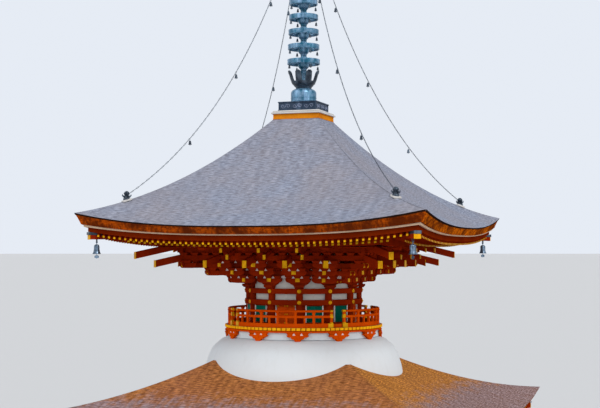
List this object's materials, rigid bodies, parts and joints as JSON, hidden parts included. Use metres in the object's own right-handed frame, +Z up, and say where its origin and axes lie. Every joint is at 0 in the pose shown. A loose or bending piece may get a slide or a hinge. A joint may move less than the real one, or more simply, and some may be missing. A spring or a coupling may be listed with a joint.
{
  "type": "two-storey pagoda",
  "caption": "Two-storey pagoda: square lower storey, white dome, round upper body with a balcony, square bark roofs and a ringed finial.",
  "frame": {"origin": "on the ground, under the finial's axis", "axes": "+Z up along the finial, -Y out of the front side with the stone steps, +X to the right seen from the front"},
  "size_m": [10.99, 10.99, 17.82],
  "materials": {
    "stone": "dressed grey stone, rough",
    "floor_boards": "bare worn floor boards",
    "red_timber": "timber painted vermilion red, satin",
    "red_doors": "board doors painted vermilion red, satin",
    "white_plaster": "white lime plaster, matt",
    "lower_bark": "layered cypress bark, brown and greying",
    "upper_bark": "layered cypress bark, weathered grey",
    "yellow_planks": "deck planks with ochre yellow ends",
    "orange_timber": "orange painted timber under a pale slab",
    "copper": "weathered copper, blue-green patina",
    "bronze": "dark weathered bronze",
    "gilding": "gilt metal end caps and discs",
    "green_paint": "window bars painted green"
  },
  "bodies": {
    "pagoda": {"stone_podium": "stone", "front_steps": "stone", "ground_floor": "floor_boards", "lower_frame": "red_timber", "lower_wall_front": "white_plaster", "lower_wall_right": "white_plaster", "lower_wall_back": "white_plaster", "lower_wall_left": "white_plaster", "lower_doors_front": "red_doors", "lower_doors_right": "red_doors", "lower_doors_back": "red_doors", "lower_doors_left": "red_doors", "lower_wall_band": "white_plaster", "lower_brackets": "red_timber", "lower_rafters": "red_timber", "lower_eave_board": "red_timber", "lower_roof": "lower_bark", "dome": "white_plaster", "neck_drum": "white_plaster", "balcony_brackets": "red_timber", "balcony_deck": "yellow_planks", "balcony_railing": "red_timber", "upper_frame": "red_timber", "upper_wall_front": "white_plaster", "upper_wall_right": "white_plaster", "upper_wall_back": "white_plaster", "upper_wall_left": "white_plaster", "upper_doors_front": "red_doors", "upper_doors_right": "red_doors", "upper_doors_back": "red_doors", "upper_doors_left": "red_doors", "bracket_core": "white_plaster", "side_brackets_front": "red_timber", "side_brackets_right": "red_timber", "side_brackets_back": "red_timber", "side_brackets_left": "red_timber", "corner_brackets_front_right": "red_timber", "corner_brackets_back_right": "red_timber", "corner_brackets_back_left": "red_timber", "corner_brackets_front_left": "red_timber", "upper_purlin": "red_timber", "upper_rafters": "red_timber", "upper_eave_board": "red_timber", "upper_roof": "upper_bark", "roof_cap": "orange_timber", "finial_basin": "copper", "finial_bowl": "copper", "finial_lotus": "bronze", "finial_rings": "copper", "finial_jewel": "copper", "chain_front_right": "bronze", "chain_back_right": "bronze", "chain_back_left": "bronze", "chain_front_left": "bronze"},
    "bell_front_right": {"wind_bell_front_right": "bronze"},
    "bell_back_right": {"wind_bell_back_right": "bronze"},
    "bell_back_left": {"wind_bell_back_left": "bronze"},
    "bell_front_left": {"wind_bell_front_left": "bronze"}
  },
  "joints": [
    {"name": "bell_swing_front_right", "type": "hinge", "parent": "pagoda", "child": "bell_front_right", "pos_m": [4.08, -4.08, 8.48], "axis": [0.7071, 0.7071, 0], "range_deg": [-25, 25]},
    {"name": "bell_swing_back_right", "type": "hinge", "parent": "pagoda", "child": "bell_back_right", "pos_m": [4.08, 4.08, 8.48], "axis": [-0.7071, 0.7071, 0], "range_deg": [-25, 25]},
    {"name": "bell_swing_back_left", "type": "hinge", "parent": "pagoda", "child": "bell_back_left", "pos_m": [-4.08, 4.08, 8.48], "axis": [-0.7071, -0.7071, 0], "range_deg": [-25, 25]},
    {"name": "bell_swing_front_left", "type": "hinge", "parent": "pagoda", "child": "bell_front_left", "pos_m": [-4.08, -4.08, 8.48], "axis": [0.7071, -0.7071, 0], "range_deg": [-25, 25]}
  ]
}
